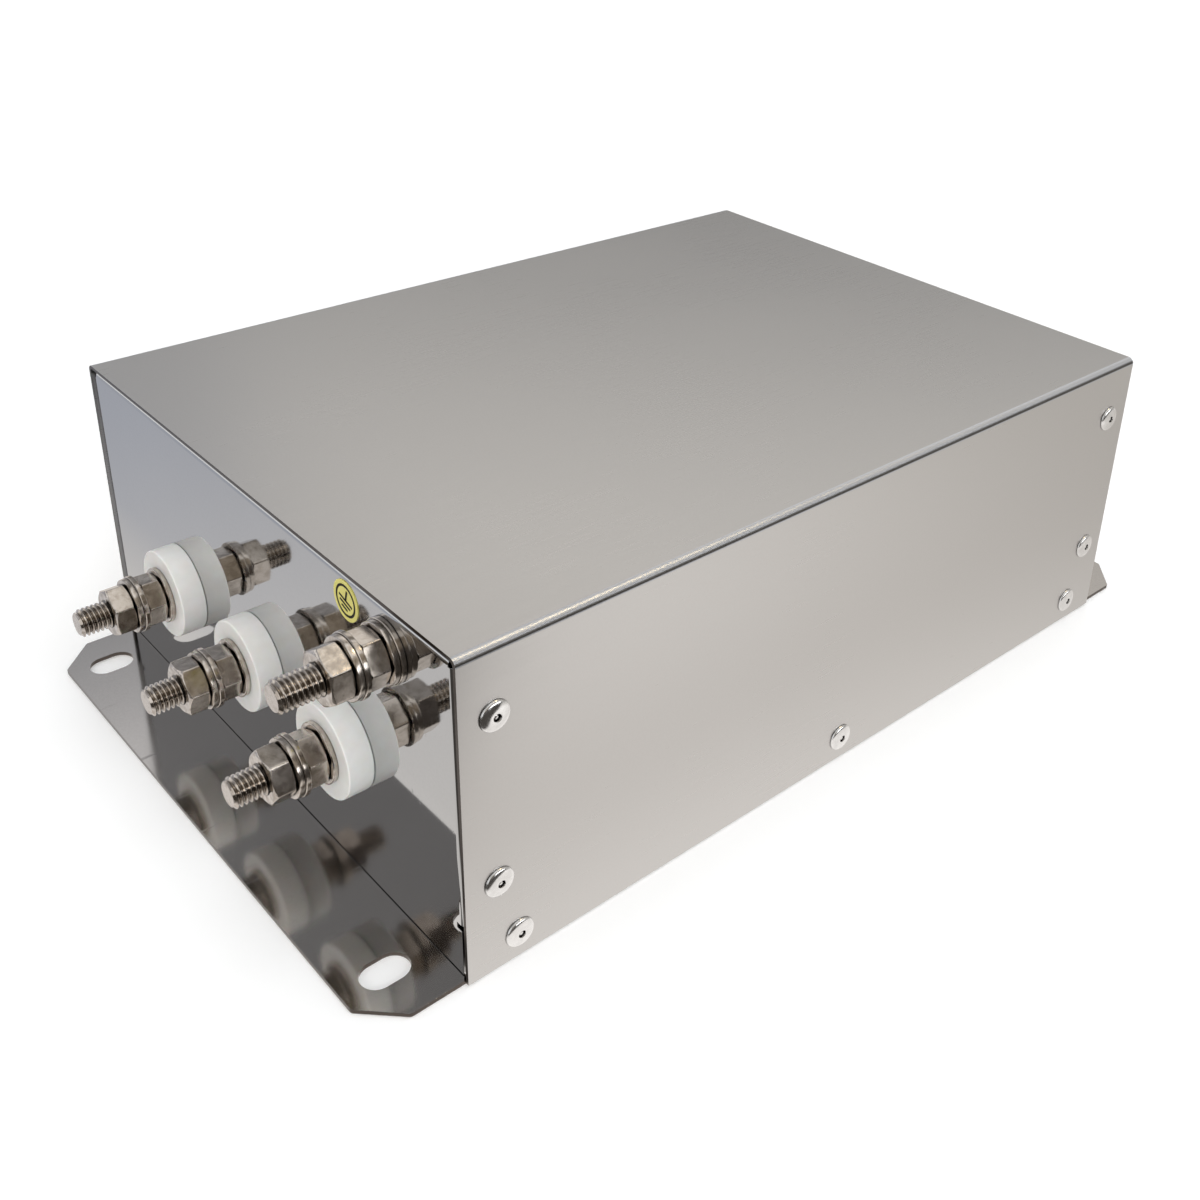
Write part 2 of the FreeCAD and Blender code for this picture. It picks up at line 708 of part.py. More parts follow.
def phase_winding(phase):
    """Round wire swept along its route with mitred corners."""
    route = winding_route(phase)
    path = Part.makePolygon(route)
    start = Part.Wire(Part.makeCircle(wire_diameter / 2, route[0], route[1] - route[0]))
    make_solid, frenet, mitred = True, False, 1
    return path.makePipeShell([start], make_solid, frenet, mitred)


def choke_core(index):
    x_low = -core_half_length + index * core_thickness
    return ring(x_low, core_thickness, 2 * core_radius, core_bore_diameter, 0, choke_z)


def strap_band(x, grow):
    """Band round the coil, thicker by grow each way where it is a groove's tool."""
    inner = coil_outer_radius + strap_fit - grow
    outer = inner + strap_thickness + 2 * grow
    width = strap_width + 2 * grow
    return ring(x - width / 2, width, 2 * outer, 2 * inner, 0, choke_z)


def cradle_stud_places():
    """Four welded studs, two outside each cheek of the cradle."""
    y = cradle_width / 2 + cradle_foot_width / 2
    return [(x, side * y) for x in (-cradle_stud_offset, cradle_stud_offset) for side in (-1, 1)]


def choke_cradle():
    """Saddle under the coil with a foot along each side."""
    half = cradle_width / 2
    block = box(both_ways(cradle_length / 2), both_ways(half),
                (liner_top, liner_top + cradle_cheek_height))
    foot = box(both_ways(cradle_length / 2), both_ways(half + cradle_foot_width),
               (liner_top, liner_top + cradle_foot_thickness))
    cradle = block.fuse(foot)
    seat = rod(-cradle_length, 2 * cradle_length, 2 * (coil_outer_radius + sheet_fit), 0, choke_z)
    cradle = cradle.cut(seat)
    for x in (-strap_offset, strap_offset):
        cradle = cradle.cut(strap_band(x, sheet_fit))
    for x, y in cradle_stud_places():
        hole = Part.makeCylinder(cradle_stud_diameter / 2 + sheet_fit,
                                 cradle_cheek_height, Vector(x, y, 0))
        cradle = cradle.cut(hole)
    return cradle.removeSplitter()


def cradle_studs():
    return [Part.makeCylinder(cradle_stud_diameter / 2, cradle_stud_length, Vector(x, y, 0))
            for x, y in cradle_stud_places()]


def cradle_nuts():
    nuts = []
    z_low = liner_top + cradle_foot_thickness
    for x, y in cradle_stud_places():
        body = hexagon(0, cradle_nut_height, cradle_nut_across_flats, 0, 0, 0)
        body.rotate(ORIGIN, Y_AXIS, -90)
        body.translate(Vector(x, y, z_low))
        bore = Part.makeCylinder(cradle_stud_diameter / 2 + thread_fit,
                                 cradle_nut_height + 2 * OVERCUT, Vector(x, y, z_low - OVERCUT))
        nuts.append(body.cut(bore))
    return nuts


def insulating_liner():
    """Thin sheet between the base plate and what lies above it."""
    half_y = nested_half_width - base_sheet - liner_side_gap
    sheet = box(both_ways(base_side_end - liner_end_gap), both_ways(half_y),
                (base_sheet, liner_top))
    for x, y in cradle_stud_places():
        hole = Part.makeCylinder(cradle_stud_diameter / 2 + sheet_fit, liner_top, Vector(x, y, 0))
        sheet = sheet.cut(hole)
    return sheet


# Nodes

save("base_plate", base_plate())
save("cover", cover())
save("cover_rivets", *cover_rivets())

nuts, flat_washers, spring_washers, lugs = [], [], [], []
earth_spacers = []
for end in ENDS:
    save(end + "_end_panel", at_end(end_panel(end), end))
    save(end + "_capacitor_board", at_end(capacitor_board(), end))
    save(end + "_y_capacitors", *[at_end(solid, end) for solid in y_capacitors()])
    bushes = [at_end(inner_insulator(y), end) for y in stud_ys]
    save(end + "_inner_insulators", *bushes)
    for phase in PHASES:
        # turned round, the load end's first place from +Y is the line end's last
        index = phase - 1 if end == LINE else len(PHASES) - phase
        y = stud_ys[index]
        name = "_" + str(phase)
        stud = threaded_stud(stud_reach, stud_depth, line_thread_end, y, terminal_height)
        save(end + "_stud" + name, at_end(stud, end))
        save(end + "_insulator" + name, at_end(outer_insulator(y), end))
        save(end + "_x_capacitor" + name, at_end(x_capacitor(y), end))
        lugs.append(at_end(winding_lug(y), end))
        groups = terminal_hardware(index)
        for group, pieces in zip((nuts, flat_washers, spring_washers), groups):
            group += [at_end(piece, end) for piece in pieces]
    if end == LINE:
        stud = threaded_stud(earth_reach, earth_depth, earth_thread_end, earth_y, earth_z)
        earth_nuts, earth_flat_washers, earth_spring_washers = earth_terminal()
        spacer_start = flat_washer_thickness + nut_height
    else:
        stud = welded_stud(earth_y, earth_z)
        spacer_start = 0
    save(end + "_earth_stud", at_end(stud, end))
    spacer, spring, nut = board_earth(spacer_start)
    earth_spacers.append(at_end(spacer, end))
    earth_spring_washers.append(at_end(spring, end))
    earth_nuts.append(at_end(nut, end))

save("terminal_nuts", *nuts)
save("terminal_flat_washers", *flat_washers)
save("terminal_spring_washers", *spring_washers)
save("earth_nuts", *earth_nuts)
save("earth_flat_washers", *earth_flat_washers)
save("earth_spring_washers", *earth_spring_washers)
save("earth_spacers", *earth_spacers)
save("winding_lugs", *lugs)
save("discharge_resistors", *discharge_resistors())
save("earth_mark", rod(-panel_face - sticker_thickness, sticker_thickness, sticker_diameter,
                       sticker_y, sticker_z))

for index in range(core_count):
    save("choke_core_" + str(index + 1), choke_core(index))
for phase in PHASES:
    save("phase_winding_" + str(phase), phase_winding(phase))
save("choke_straps", *[strap_band(x, 0) for x in (-strap_offset, strap_offset)])
save("choke_cradle", choke_cradle())
save("cradle_studs", *cradle_studs())
save("cradle_nuts", *cradle_nuts())
save("insulating_liner", insulating_liner())
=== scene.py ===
# Looks of the EMI line filter. Sizes here are in millimetres unless a line says otherwise.
# The line end is at -X. The load end has the same studs turned half round about Z, but no
# earth stud outside.
import math
import bmesh
import bpy
from mathutils import Matrix, Vector


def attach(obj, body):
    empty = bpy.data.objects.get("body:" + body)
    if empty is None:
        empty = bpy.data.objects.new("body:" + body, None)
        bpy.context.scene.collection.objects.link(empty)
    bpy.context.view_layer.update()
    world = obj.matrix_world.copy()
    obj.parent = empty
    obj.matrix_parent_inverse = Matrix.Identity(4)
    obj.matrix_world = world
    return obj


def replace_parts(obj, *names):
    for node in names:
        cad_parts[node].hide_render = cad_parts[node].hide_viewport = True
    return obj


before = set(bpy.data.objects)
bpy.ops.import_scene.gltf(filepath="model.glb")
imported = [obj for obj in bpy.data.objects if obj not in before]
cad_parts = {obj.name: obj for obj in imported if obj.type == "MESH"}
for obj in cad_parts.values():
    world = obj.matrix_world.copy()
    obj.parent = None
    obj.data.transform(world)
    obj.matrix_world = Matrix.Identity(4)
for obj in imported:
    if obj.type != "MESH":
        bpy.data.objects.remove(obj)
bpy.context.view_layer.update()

MM = 0.001
TURN = 2 * math.pi
SAME_POINT = 0.0000001  # in metres
SHARP = 34.0  # degrees between two faces
THREAD_SHARP = 50.0
ROUND_STEPS = 72

# Case
PANEL_FACE = 129.6  # outer face of each end panel from the middle
PANEL_SHEET = 1.0
HALF_WIDTH = 96.0

# Studs and what is on them
ENDS = {"line": 1, "load": -1}
PHASES = (1, 2, 3)
STUD_YS = (45.0, 0.0, -45.0)
STUD_Z = 41.8
EARTH_AXIS = (-68.0, 81.5)
LINE_REACH = 31.5
EARTH_REACH = 28.4
LINE_DEPTH = 27.2  # inside the panel
EARTH_DEPTH = 25.2
LINE_FREE = 8.5  # bare thread outside the outer nut
EARTH_FREE = 10.8
NUT_HEIGHT = 5.8
NUT_FLATS = 13.0
NUT_FACE = 6.175  # radius of the nut's flat end
NUT_BORE = 3.645
NUT_CHAMFER = 30.0  # degrees
NUT_SINK = 0.5  # depth of the countersink
NUT_CORNER = 1.3  # degrees of a side at each corner that are rounded off
NUT_OFFSETS = (0, 1, 2.5, 5, 12, 21, 30, 39, 48, 55, 57.5, 59)  # degrees from a corner
FLAT_THICK = 1.4
FLAT_RADIUS = 8.2
SPRING_THICK = 1.6
SPRING_OUTER = 7.9
SPRING_CORNER = 0.3
SPRING_STEPS = 64
WASHER_BORE = 4.25
WASHER_RIMS = (0.3, 0.2)  # rounding of a flat washer's rim in front and behind
BORE_BREAK = 0.05
SPLIT_WIDTH = 1.6
SPLIT_SLANT = 20.0  # degrees
INSULATOR_THICK = 7.0
INSULATOR_RADIUS = 13.0
INSULATOR_STEPS = 128
INSULATOR_RIMS = ((0.4, 6), (0.35, 3))  # rounding in front and behind, with its steps
INSULATOR_BREAK = 0.15
SPIGOT_RADIUS = 7.0
SPIGOT_END = 2.0  # inside the panel
OUTER_TURNS = (-28.0, -8.0, 9.0)  # degrees, at the studs from +Y to -Y
INNER_TURNS = (-9.0, -3.0, -22.0)
SPLIT_TURNS = (190.0, 250.0, 290.0)
EARTH_TURNS = (27.0, -1.0)  # the outer and the inner one
EARTH_SPLIT_TURNS = (270.0, 210.0)
LINE_CLAMP_NUT = 7.4  # distances inside the panel
LINE_LUG_NUT = 18.4
EARTH_CLAMP_NUT = 1.4
EARTH_BOARD_NUT = 16.4

# Thread
PITCH = 1.25
CREST = 4.0
GRIPPED = 3.595  # the thread's radius inside the nuts
TIP_CHAMFER = 0.9
SPARE_TURNS = 4
FINE_STEPS = 72  # round the thread
COARSE_STEPS = 28
# Share of the pitch from the crest's middle, and the radius there
FINE_FORM = ((-0.09, 3.93), (-0.04, 3.99), (0.04, 3.99), (0.09, 3.93), (0.36, 3.33),
             (0.43, 3.24), (0.50, 3.22), (0.57, 3.24), (0.64, 3.33))
COARSE_FORM = ((0.0, GRIPPED), (0.3, 3.45), (0.5, 3.22), (0.7, 3.45))

# Rivets
END_RIVET_X = 120.5
BASE_RIVET_X = 115.0
UPPER_RIVET_Z = 75.4
LOWER_RIVET_Z = 27.3
BASE_RIVET_Z = 7.8
END_GRIP = 2.2  # sheets held together
BASE_GRIP = 2.4
RIVET_STEPS = 48
RIVET_SHANK = 2.0
RIVET_BULB = (2.9, 2.6)  # radius and length
RIVET_TAIL = (1.2, 1.0)  # radius of the bulb's end, and length of the taper to it
# Distance out of the cover's side and radius, from the mandrel to the head's rim
RIVET_HEAD = ((0.88, 0.2), (0.80, 0.5), (0.62, 0.7), (0.3, 0.78), (0.3, 0.95), (1.1, 1.0),
              (1.2, 1.08), (1.23, 1.25), (1.22, 1.7), (1.18, 2.2), (1.1, 2.7), (0.99, 3.15),
              (0.85, 3.5), (0.71, 3.75), (0.56, 3.93), (0.38, 4.05), (0.08, 4.1), (0.0, 4.0))

# Earth mark
MARK_AXIS = (-50.4, 85.6)
MARK_FACE = 129.8
MARK_TILT = -17.0  # degrees
PRINT_THICK = 0.03
PRINT_RING = (3.68, 4.34)
# Across and up of the middle of the symbol's stem and bars, and half their size
PRINT_BARS = ((0.0, 1.55, 0.36, 1.45), (0.0, 0.0, 2.95, 0.31), (0.0, -1.15, 2.35, 0.31),
              (0.0, -2.3, 1.35, 0.31))

# Edges of the folded sheets
EDGE_WEAR = 0.12
EDGE_ANGLE = 50.0  # degrees
EDGE_WELD = 0.00001  # in metres

# The photograph's viewpoint, from its resection, in metres
CAMERA_SENSOR = 36.0
CAMERA_LENS = 42.1646
CAMERA_SHIFT = (-0.08133, -0.14)
CAMERA_CLIP = (0.01, 50.0)
CAMERA_PLACE = (-0.260734, -0.301795, 0.268922)
CAMERA_RIGHT = (0.735221, -0.676535, 0.041840)
CAMERA_UP = (0.274557, 0.353673, 0.894166)
CAMERA_BACK = (-0.619733, -0.645922, 0.445775)

# Surfaces. Noise is given in cells a metre, also along X, Y and Z.
ROLLING_GRAIN = (60.0, 3200.0, 3200.0)
HAIR_SCRATCHES = (55.0, 700.0, 260.0)
SHEET_CLOUDS = 14.0
SHEET_SPECKS = 1500.0
SHEET_PITS = 1100.0
METAL_STAINS = 420.0
METAL_DENTS = 1300.0
METAL_PITS = 5200.0
MOTTLING = 240.0
SKIN_GRAIN = 2880.0
# Painted light on the sheets: a highlight on the bends, a dark reflection under them, and
# shade on faces that point along one axis
BEND_HIGHLIGHT_TONE = (0.66, 0.69, 0.74, 1.0)
BEND_DULLER = 0.06  # roughness above the sheet's dullest
DARK_REFLECTION_TONE = (0.11, 0.105, 0.10, 1.0)
EDGE_SHADE_TONE = (0.10, 0.085, 0.075, 1.0)
# Painted shade in the fasteners' gaps and between their threads
CREVICE_SHADE_TONE = (0.05, 0.042, 0.035, 1.0)
CREVICE_SHADE_REACH = 0.0011  # how near a neighbour has to be for the painted shade, in metres
MOULDED_SKIN = 0.00001  # height of its unevenness, in metres

# Studio, in metres
FLOOR_SIZE = 12.0
FLOOR_DROP = 0.0006  # keeps the floor clear of the base plate's face
SHEEN_SIZE = 6.0
SHEEN_DROP = 0.0003
# What the sheen shows, a painted reflection of the floor: colours near a corner and far from
# it, and other ones elsewhere, among them the case's painted shadow
GLOW_CORNER = (-0.12, -0.14, 0.0)
GLOW_REACH = (0.04, 0.46)
GLOW_PALE = ((1.25, 1.21, 1.17, 1.0), (0.70, 0.67, 0.63, 1.0))
GLOW_SHADED = ((0.82, 0.79, 0.76, 1.0), (0.50, 0.52, 0.58, 1.0))
GLOW_CASE_SHADOW = (0.60, 0.56, 0.52, 1.0)
GLOW_DARK = (0.072, 0.065, 0.058, 1.0)
FLOOR_TONES = ((0.90, 0.90, 0.90, 1.0), (0.93, 0.93, 0.93, 1.0))
# What the floor adds to come out white: strength near and far, and how far off each is
FLOOR_LIFT = (0.12, 0.56)
LIFT_REACH = (0.45, 1.3)
WORLD_LIGHT = 0.55  # what the world gives as light, where 1 is white
LAMP_AIM = (0.0, 0.0, 0.04)
CARD_AIM = (0.0, 0.0, 0.05)
# Name, place, side, power in watts, colour
LAMPS = (("top_light", (0.1, -0.2, 1.7), 1.6, 14.0, (0.97, 0.985, 1.0)),
         ("end_light", (-1.7, -0.6, 1.1), 1.0, 5.2, (1.0, 0.93, 0.82)),
         ("side_light", (-0.25, -1.8, 1.1), 1.0, 13.5, (0.93, 0.97, 1.0)))
# Name, degrees round from +X, degrees up, distance, width and height, and the colours at
# shares of the height
CARDS = (
    ("back_card", 45.0, 27.0, 2.2, (4.6, 3.0),
     ((0.0, (0.22, 0.22, 0.23)), (0.32, (0.24, 0.24, 0.245)), (0.42, (0.38, 0.38, 0.38)),
      (0.52, (0.82, 0.80, 0.77)), (0.64, (1.06, 1.02, 0.97)), (0.74, (1.04, 1.00, 0.95)),
      (0.84, (0.32, 0.30, 0.27)), (1.0, (0.22, 0.20, 0.18)))),
    ("left_card", 128.0, 46.0, 1.7, (3.2, 2.4),
     ((0.0, (0.36, 0.37, 0.40)), (0.5, (0.38, 0.38, 0.39)), (1.0, (0.25, 0.235, 0.21)))),
    ("corner_card", 80.0, 31.5, 1.5, (0.38, 0.34),
     ((0.0, (0.30, 0.31, 0.34)), (0.5, (0.60, 0.61, 0.64)), (1.0, (1.10, 1.10, 1.12)))),
    ("roof_card", -20.0, 68.0, 1.6, (0.9, 0.8), ((0.0, (0.80, 0.77, 0.72)),)),
    ("glint_card", -30.0, 62.0, 1.5, (0.20, 0.20), ((0.0, (11.0, 8.6, 5.2)),)),
    ("front_card", -90.0, 28.0, 2.6, (7.0, 3.2),
     ((0.0, (0.07, 0.065, 0.065)), (0.35, (0.10, 0.09, 0.085)), (0.60, (0.31, 0.27, 0.22)),
      (1.0, (0.35, 0.31, 0.26)))),
    ("gap_card", -18.0, 26.0, 2.5, (2.0, 2.4),
     ((0.0, (0.34, 0.32, 0.30)), (0.5, (0.62, 0.60, 0.57)), (1.0, (0.45, 0.43, 0.40)))),
    ("window_card", -70.0, 19.0, 2.1, (1.8, 0.5), ((0.0, (3.4, 3.42, 3.45)),)),
)


# Camera

def set_camera():
    lens = bpy.data.cameras.new("camera")
    lens.sensor_width = CAMERA_SENSOR
    lens.lens = CAMERA_LENS
    lens.shift_x, lens.shift_y = CAMERA_SHIFT
    lens.clip_start, lens.clip_end = CAMERA_CLIP
    camera = bpy.data.objects.new("camera", lens)
    axes = Matrix((CAMERA_RIGHT, CAMERA_UP, CAMERA_BACK))
    place = axes.transposed().to_4x4()
    place.translation = Vector(CAMERA_PLACE)
    camera.matrix_world = place
    bpy.context.scene.collection.objects.link(camera)
    bpy.context.scene.camera = camera


# Material building

def add(tree, kind, links=None, **values):
    """One shader node. links gives its sockets a value or another node's output."""
    made = tree.nodes.new("ShaderNode" + kind)
    for name, value in values.items():
        setattr(made, name, value)
    for socket, source in (links or {}).items():
        if isinstance(source, bpy.types.NodeSocket):
            tree.links.new(source, made.inputs[socket])
        else:
            made.inputs[socket].default_value = source
    return made


def place_of(tree, stretch=(1.0, 1.0, 1.0)):
    """Object coordinates in metres, stretched."""
    where = add(tree, "TexCoord").outputs["Object"]
    return add(tree, "Mapping", {"Vector": where, "Scale": stretch}).outputs[0]


def noise(tree, where, scale, detail=3.0, rough=0.5):
    """Noise from 0 to 1 with scale cells a metre."""
    return add(tree, "TexNoise", {"Vector": where, "Scale": scale, "Detail": detail,
                                  "Roughness": rough}).outputs[0]


def ranged(tree, value, low, high, to_low, to_high):
    """value from low..high turned into to_low..to_high."""
    return add(tree, "MapRange", {"Value": value, "From Min": low, "From Max": high,
                                  "To Min": to_low, "To Max": to_high}).outputs[0]


def joined(tree, kind, first, second):
    """Two values taken together by one of Blender's math operations."""
    return add(tree, "Math", {0: first, 1: second}, operation=kind).outputs[0]


def absolute(tree, value):
    return add(tree, "Math", {0: value}, operation="ABSOLUTE").outputs[0]


def blend(tree, share, first, second):
    """Colour between two colours, at a share of the way."""
    return add(tree, "Mix", {0: share, 6: first, 7: second}, data_type="RGBA").outputs[2]


def new_material(name, **sockets):
    """A material with its shader and the sockets that are the same all over."""
    made = bpy.data.materials.new(name)
    made.use_nodes = True
    tree = made.node_tree
    shader = tree.nodes["Principled BSDF"]
    for socket, value in sockets.items():
        shader.inputs[socket.replace("_", " ")].default_value = value
    return made, tree, shader.inputs


def shade(tree, inputs, colour, rough, height, depth):
    """Colour, roughness and a bump as high as depth, in metres."""
    tree.links.new(colour, inputs["Base Color"])
    tree.links.new(rough, inputs["Roughness"])
    bump = add(tree, "Bump", {"Height": height, "Distance": depth, "Strength": 1.0})
    tree.links.new(bump.outputs[0], inputs["Normal"])


def tinted(value, warm):
    """A grey, made warmer by a share."""
    return (value * (1 + warm), value, value * (1 - warm), 1.0)


def sheet_zones(tree, dark_facing):
    """Shares of bend, of the band under it and of edge faces, by where a face points: the bend
    gets a painted highlight, the band a painted dark reflection and the edge faces painted
    shade. Bends run along X. It is given an axis, and how far along it a face points where the
    painted shade starts and where it is full."""
    facing = add(tree, "SeparateXYZ", {0: add(tree, "NewGeometry").outputs["Normal"]}).outputs
    slant = absolute(tree, joined(tree, "MULTIPLY", facing["Y"], facing["Z"]))
    # share of the bend, which gets a painted highlight
    bend = ranged(tree, slant, 0.02, 0.12, 0.0, 1.0)
    sideways = absolute(tree, facing["Y"])
    # a band under the bend that gets a painted dark reflection
    dark_reflection = joined(tree, "MULTIPLY", ranged(tree, sideways, 0.72, 0.88, 0.0, 1.0),
                    ranged(tree, sideways, 0.975, 0.999, 1.0, 0.0))
    axis, start, end = dark_facing
    # faces that point along the given axis get painted shade
    edge_shade = ranged(tree, absolute(tree, facing[axis]), start, end, 0.0, 1.0)
    return bend, dark_reflection, edge_shade


def sheet_metal(name, tone, warm, gloss, scratches, depth, dark_facing, cloudy=1.0):
    """Rolled stainless sheet: even gloss, fine rolling grain along X, few hair scratches and
    pits, a painted highlight on the bends, a painted dark reflection under them, and painted
    shade on the faces that point along one axis. tone and gloss are the ranges of its grey and
    its roughness."""
    made, tree, inputs = new_material(name, Metallic=1.0)
    plain = place_of(tree)
    cloud = ranged(tree, noise(tree, plain, SHEET_CLOUDS), 0.3, 0.7, 0.5 - 0.2 * cloudy,
                   0.5 + 0.2 * cloudy)
    speck = noise(tree, plain, SHEET_SPECKS)
    grain = noise(tree, place_of(tree, ROLLING_GRAIN), 1.0, 4.0)
    hair = noise(tree, place_of(tree, HAIR_SCRATCHES), 1.0, 1.0)
    hair = ranged(tree, hair, 0.72, 0.75, 0.0, scratches)
    pit = ranged(tree, noise(tree, plain, SHEET_PITS, 2.0), 0.72, 0.76, 0.0, scratches)
    scratch = joined(tree, "MAXIMUM", hair, pit)
    patch = joined(tree, "ADD", joined(tree, "MULTIPLY", cloud, 0.6),
                   joined(tree, "MULTIPLY", speck, 0.4))
    colour = blend(tree, ranged(tree, patch, 0.38, 0.62, 0.0, 1.0), tinted(tone[0], warm),
                   tinted(tone[1], warm))
    rough = ranged(tree, joined(tree, "ADD", cloud, joined(tree, "MULTIPLY", grain, 0.5)),
                   0.55, 0.95, *gloss)
    rough = joined(tree, "ADD", rough, joined(tree, "MULTIPLY", scratch, 0.2))
    height = joined(tree, "SUBTRACT", joined(tree, "MULTIPLY", grain, 0.35), scratch)
    bend, dark_reflection, edge_shade = sheet_zones(tree, dark_facing)
    unbent = joined(tree, "SUBTRACT", 1.0, bend)
    height = joined(tree, "MULTIPLY", height, unbent)
    rough = joined(tree, "ADD", joined(tree, "MULTIPLY", rough, unbent),
                   joined(tree, "MULTIPLY", bend, gloss[1] + BEND_DULLER))
    # painted highlight on the bends
    colour = blend(tree, bend, colour, BEND_HIGHLIGHT_TONE)
    # painted dark reflection under the bends
    colour = blend(tree, dark_reflection, colour, DARK_REFLECTION_TONE)
    # painted shade on the faces that point along the given axis: the sheet's edges, and the
    # base plate's upright faces
    colour = blend(tree, edge_shade, colour, EDGE_SHADE_TONE)
    shade(tree, inputs, colour, rough, height, depth)
    return made


def turned_metal(name, tone, warm, gloss, depth):
    """Plated fastener metal: stains and dents on the faces, sharp edges lighter from wear and
    from a painted highlight, and painted shade in the gaps and between the threads."""
    made, tree, inputs = new_material(name, Metallic=1.0)
    plain = place_of(tree)
    stain = noise(tree, plain, METAL_STAINS, 5.0, 0.6)
    dents = noise(tree, plain, METAL_DENTS, 2.0)
    pits = noise(tree, plain, METAL_PITS, 2.0)
    edge = add(tree, "NewGeometry").outputs["Pointiness"]
    # sharp edges lighter: partly wear, partly a painted highlight
    wear_and_highlight = ranged(tree, edge, 0.50, 0.56, 0.0, 0.6)
    share = joined(tree, "ADD", ranged(tree, stain, 0.38, 0.64, 0.0, 0.8), wear_and_highlight)
    colour = blend(tree, share, tinted(tone[0], warm), tinted(tone[1], warm * 0.6))
    # painted shade where neighbours are near: in the gaps and between the threads
    open_share = add(tree, "AmbientOcclusion", {"Distance": CREVICE_SHADE_REACH},
                     samples=6).outputs["AO"]
    crevice_shade = ranged(tree, open_share, 0.78, 0.30, 0.0, 0.96)
    colour = blend(tree, crevice_shade, colour, CREVICE_SHADE_TONE)
    rough = ranged(tree, joined(tree, "ADD", stain, joined(tree, "MULTIPLY", pits, 0.3)),
                   0.45, 0.85, *gloss)
    rough = joined(tree, "ADD", rough, joined(tree, "MULTIPLY", wear_and_highlight, 0.3))
    height = joined(tree, "ADD", dents, joined(tree, "MULTIPLY", pits, 0.15))
    shade(tree, inputs, colour, rough, height, depth)
    return made


def moulded(name, low, high, gloss, **sockets):
    """Moulded or pressed insulating material: faint mottling and a soft skin."""
    made, tree, inputs = new_material(name, **sockets)
    plain = place_of(tree)
    patch = noise(tree, plain, MOTTLING, 4.0)
    skin = noise(tree, plain, SKIN_GRAIN)
    colour = blend(tree, ranged(tree, patch, 0.35, 0.65, 0.0, 1.0), (*low, 1.0), (*high, 1.0))
    rough = ranged(tree, joined(tree, "ADD", patch, joined(tree, "MULTIPLY", skin, 0.3)),
                   0.45, 0.85, *gloss)
    shade(tree, inputs, colour, rough, skin, MOULDED_SKIN)
    return made


cover_metal = sheet_metal("cover_metal", tone=(0.55, 0.57), warm=0.015, gloss=(0.26, 0.32),
                          scratches=0.05, depth=0.000001, dark_facing=("X", 0.8, 0.95), cloudy=0.4)
panel_metal = sheet_metal("panel_metal", tone=(0.55, 0.57), warm=0.0, gloss=(0.03, 0.05),
                          scratches=0.30, depth=0.0000004, dark_facing=("Z", 0.8, 0.95))
# The base plate has painted shade on its upright faces; where it lies flat it keeps its own
# tone
base_metal = sheet_metal("base_metal", tone=(0.42, 0.46), warm=0.045, gloss=(0.07, 0.11),
                         scratches=0.45, depth=0.0000006, dark_facing=("Z", 0.4, 0.2))
nickel = turned_metal("nickel", tone=(0.35, 0.66), warm=0.15, gloss=(0.04, 0.12),
                      depth=0.000002)
steel = turned_metal("steel", tone=(0.50, 0.62), warm=0.01, gloss=(0.20, 0.34),
                     depth=0.000006)
rivet_metal = turned_metal("rivet_metal", tone=(0.72, 0.84), warm=0.0, gloss=(0.09, 0.17),
                           depth=0.000003)
lug_metal = turned_metal("lug_metal", tone=(0.60, 0.70), warm=0.02, gloss=(0.22, 0.34),
                         depth=0.000006)
insulator_white = moulded("insulator_white", (0.87, 0.86, 0.83), (0.91, 0.90, 0.88),
                          (0.28, 0.40), Subsurface_Weight=0.12, Subsurface_Scale=0.002)
mark_yellow = moulded("mark_yellow", (0.77, 0.70, 0.17), (0.82, 0.75, 0.21), (0.38, 0.5))
mark_black = moulded("mark_black", (0.008, 0.007, 0.004), (0.015, 0.013, 0.008), (0.4, 0.5),
                     Specular_IOR_Level=0.1)
# The keys are parts of the nodes' names
INNER_MATERIALS = {
    "choke_core": moulded("core_coat", (0.04, 0.12, 0.07), (0.06, 0.16, 0.09), (0.45, 0.6)),
    "phase_winding": moulded("winding_wire", (0.36, 0.11, 0.03), (0.46, 0.17, 0.05),
                             (0.2, 0.32), Metallic=0.6, Coat_Weight=0.4),
    "choke_cradle": moulded("cradle_plastic", (0.03, 0.03, 0.03), (0.05, 0.05, 0.05),
                            (0.5, 0.65)),
    "choke_straps": moulded("strap_band", (0.05, 0.05, 0.05), (0.08, 0.08, 0.08),
                            (0.35, 0.5)),
    "insulating_liner": moulded("liner_film", (0.55, 0.45, 0.26), (0.63, 0.52, 0.31),
                                (0.5, 0.7)),
    "capacitor_board": moulded("board_laminate", (0.10, 0.24, 0.10), (0.13, 0.30, 0.13),
                               (0.35, 0.5)),
    "x_capacitor": moulded("x_capacitor_case", (0.50, 0.38, 0.06), (0.58, 0.45, 0.09),
                           (0.35, 0.5)),
    "y_capacitors": moulded("y_capacitor_case", (0.05, 0.17, 0.42), (0.07, 0.21, 0.50),
                            (0.35, 0.5)),
    "discharge_resistors": moulded("resistor_body", (0.42, 0.33, 0.20), (0.50, 0.40, 0.26),
                                   (0.4, 0.55)),
}


# Mesh building

def flatten_normals(piece):
    """Large faces keep their own direction, and the rounding stays in the narrow ones."""
    weighted = piece.modifiers.new("weighted_normals", "WEIGHTED_NORMAL")
    weighted.mode = "FACE_AREA"
    weighted.weight = 100
    weighted.keep_sharp = True


